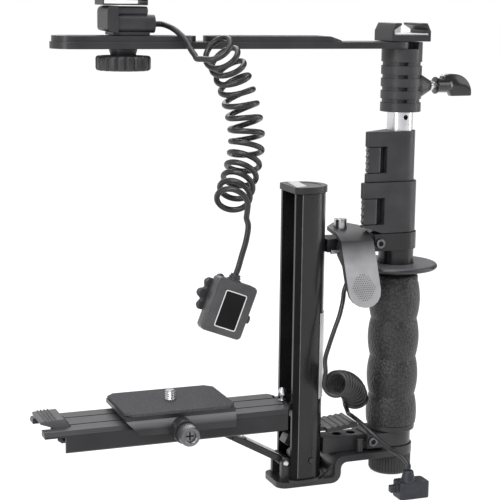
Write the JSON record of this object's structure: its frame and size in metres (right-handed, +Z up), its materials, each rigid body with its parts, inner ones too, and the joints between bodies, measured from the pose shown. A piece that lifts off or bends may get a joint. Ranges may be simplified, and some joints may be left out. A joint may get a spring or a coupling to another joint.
{
  "type": "camera flash bracket",
  "caption": "Grip column with a folding camera tray on a slotted post, a flash arm with a cold shoe, a curly flash cord and a curly shutter release cord.",
  "frame": {"origin": "centre of the flat underside of the knob below the grip column, level with the base's underside", "axes": "+X from the camera tray to the grip, +Y away from the viewer, +Z up along the column"},
  "size_m": [0.2751, 0.0845, 0.2939],
  "materials": {
    "casting": "satin black enamel on cast metal",
    "black_metal": "satin black enamel",
    "black_anodised": "black anodised extrusion",
    "grey_anodised": "grey anodised extrusion",
    "dark_anodised": "dark grey anodised",
    "black_plastic": "moulded black plastic",
    "grey_plastic": "moulded grey plastic",
    "gloss_black": "gloss black plastic",
    "grip_rubber": "ribbed grip rubber",
    "pad_rubber": "cork-grey pad",
    "cord": "cord jacket",
    "label": "bare pale label",
    "steel": "plated steel",
    "dark_steel": "blackened steel",
    "chrome": "polished chrome",
    "plug_plastic": "dark blue-grey moulded plastic"
  },
  "bodies": {
    "frame": {"base_casting": "casting", "lower_brace": "black_metal", "lower_brace_screw": "dark_steel", "upper_brace": "black_metal", "upper_brace_screw": "dark_steel", "post": "black_anodised", "post_cap": "black_plastic", "post_screw": "dark_steel", "post_label": "label", "fold_latch": "steel", "latch_roller": "grey_plastic", "ear_bolt": "chrome", "hinge_bracket": "black_metal", "foot_plug": "steel", "column_tube": "black_metal", "grip_ring": "black_plastic", "grip_sleeve": "grip_rubber", "hand_guard": "black_plastic", "clamp_lower_body": "black_plastic", "trigger_pin": "steel", "release_socket": "black_plastic", "release_lead": "cord", "release_coil": "cord", "release_tail": "cord", "release_plug": "plug_plastic"},
    "foot_knob": {"base_knob": "black_plastic"},
    "thumb_lever": {"fold_lever": "grey_plastic"},
    "tray": {"tray_rail": "grey_anodised", "end_pin": "black_plastic"},
    "tray_end_lever": {"end_lever": "grey_plastic"},
    "plunger": {"lock_plunger": "chrome"},
    "support": {"strut": "black_metal", "strut_strip": "steel", "strut_shoe": "black_plastic"},
    "quick_plate": {"camera_plate": "dark_anodised", "plate_pad": "pad_rubber"},
    "plate_screw": {"plate_knob": "steel"},
    "camera_bolt": {"camera_screw": "chrome"},
    "trigger": {"trigger_lever": "grey_plastic", "trigger_screw": "steel"},
    "lower_lock": {"clamp_lower_lever": "black_plastic"},
    "middle_column": {"mid_tube": "black_metal", "clamp_upper_body": "black_plastic"},
    "upper_lock": {"clamp_upper_lever": "black_plastic"},
    "stud": {"stud_tube": "chrome"},
    "arm": {"receiver": "black_plastic", "flash_arm": "dark_anodised", "arm_bolt": "steel", "cold_shoe": "dark_anodised", "shoe_spring": "steel"},
    "wing": {"wing_knob": "gloss_black"},
    "cord_head": {"head_body": "black_plastic", "head_rails": "steel", "head_gland": "black_plastic", "ttl_lead_upper": "cord", "ttl_coil": "cord", "ttl_lead_lower": "cord", "ttl_block": "black_plastic"},
    "head_clamp": {"head_knob": "black_plastic"},
    "camera_wheel": {"block_wheel": "black_plastic"}
  },
  "joints": [
    {"name": "foot_knob_turn", "type": "hinge", "parent": "frame", "child": "foot_knob", "pos_m": [0, 0, 0.006], "axis": [0, 0, 1], "continuous": true},
    {"name": "thumb_lever_press", "type": "hinge", "parent": "frame", "child": "thumb_lever", "pos_m": [-0.056, 0, 0.0333], "axis": [0, 1, 0], "range_deg": [0, 6], "stiffness_Nm_per_rad": 0.12, "springref_deg": -5.73},
    {"name": "tray_fold", "type": "hinge", "parent": "frame", "child": "tray", "pos_m": [-0.0746, 0, 0.0502], "axis": [0, 1, 0], "range_deg": [0, 75]},
    {"name": "strut_fold", "type": "hinge", "parent": "frame", "child": "support", "pos_m": [-0.075, 0, 0.0148], "axis": [0, 1, 0], "range_deg": [0, 33]},
    {"name": "end_lever_press", "type": "hinge", "parent": "tray", "child": "tray_end_lever", "pos_m": [-0.213, 0, 0.0499], "axis": [0, -1, 0], "range_deg": [0, 8], "stiffness_Nm_per_rad": 0.12, "springref_deg": -5.73},
    {"name": "plunger_lift", "type": "slide", "parent": "tray", "child": "plunger", "axis": [0, 0, 1], "range_m": [0, 0.003], "stiffness_N_per_m": 300, "springref_m": -0.002},
    {"name": "plate_slide", "type": "slide", "parent": "tray", "child": "quick_plate", "axis": [1, 0, 0], "range_m": [-0.027, 0.008]},
    {"name": "plate_knob_turn", "type": "hinge", "parent": "quick_plate", "child": "plate_screw", "pos_m": [-0.147, -0.035, 0.048], "axis": [0, -1, 0], "continuous": true},
    {"name": "camera_screw_turn", "type": "hinge", "parent": "quick_plate", "child": "camera_bolt", "pos_m": [-0.1467, 0, 0.06], "axis": [0, 0, 1], "continuous": true},
    {"name": "trigger_press", "type": "hinge", "parent": "frame", "child": "trigger", "pos_m": [-0.033, -0.0106, 0.145], "axis": [1, 0, 0], "range_deg": [0, 4], "stiffness_Nm_per_rad": 0.2, "springref_deg": -5.73},
    {"name": "lower_lock_open", "type": "hinge", "parent": "frame", "child": "lower_lock", "pos_m": [-0.0205, -0.00885, 0.168], "axis": [0, 0, 1], "range_deg": [0, 60]},
    {"name": "middle_column_slide", "type": "slide", "parent": "frame", "child": "middle_column", "axis": [0, 0, 1], "range_m": [0, 0.08]},
    {"name": "upper_lock_open", "type": "hinge", "parent": "middle_column", "child": "upper_lock", "pos_m": [-0.0182, -0.00725, 0.1996], "axis": [0, 0, 1], "range_deg": [0, 60]},
    {"name": "stud_slide", "type": "slide", "parent": "middle_column", "child": "stud", "axis": [0, 0, 1], "range_m": [0, 0.08]},
    {"name": "arm_swivel", "type": "hinge", "parent": "stud", "child": "arm", "pos_m": [0, 0, 0.247], "axis": [0, 0, 1], "range_deg": [-90, 90]},
    {"name": "wing_turn", "type": "hinge", "parent": "arm", "child": "wing", "pos_m": [0.03, 0, 0.2435], "axis": [1, 0, 0], "continuous": true},
    {"name": "cord_head_slide", "type": "slide", "parent": "arm", "child": "cord_head", "axis": [1, 0, 0], "range_m": [-0.025, 0.025]},
    {"name": "head_knob_turn", "type": "hinge", "parent": "cord_head", "child": "head_clamp", "pos_m": [-0.175, 0, 0.258], "axis": [0, 0, 1], "continuous": true},
    {"name": "camera_wheel_turn", "type": "hinge", "parent": "cord_head", "child": "camera_wheel", "pos_m": [-0.13349, -0.0475, 0.12992], "axis": [0, 1, 0], "continuous": true}
  ],
  "couplings": [
    {"joint": "strut_fold", "follows": "tray_fold", "ratio": 0.44}
  ]
}
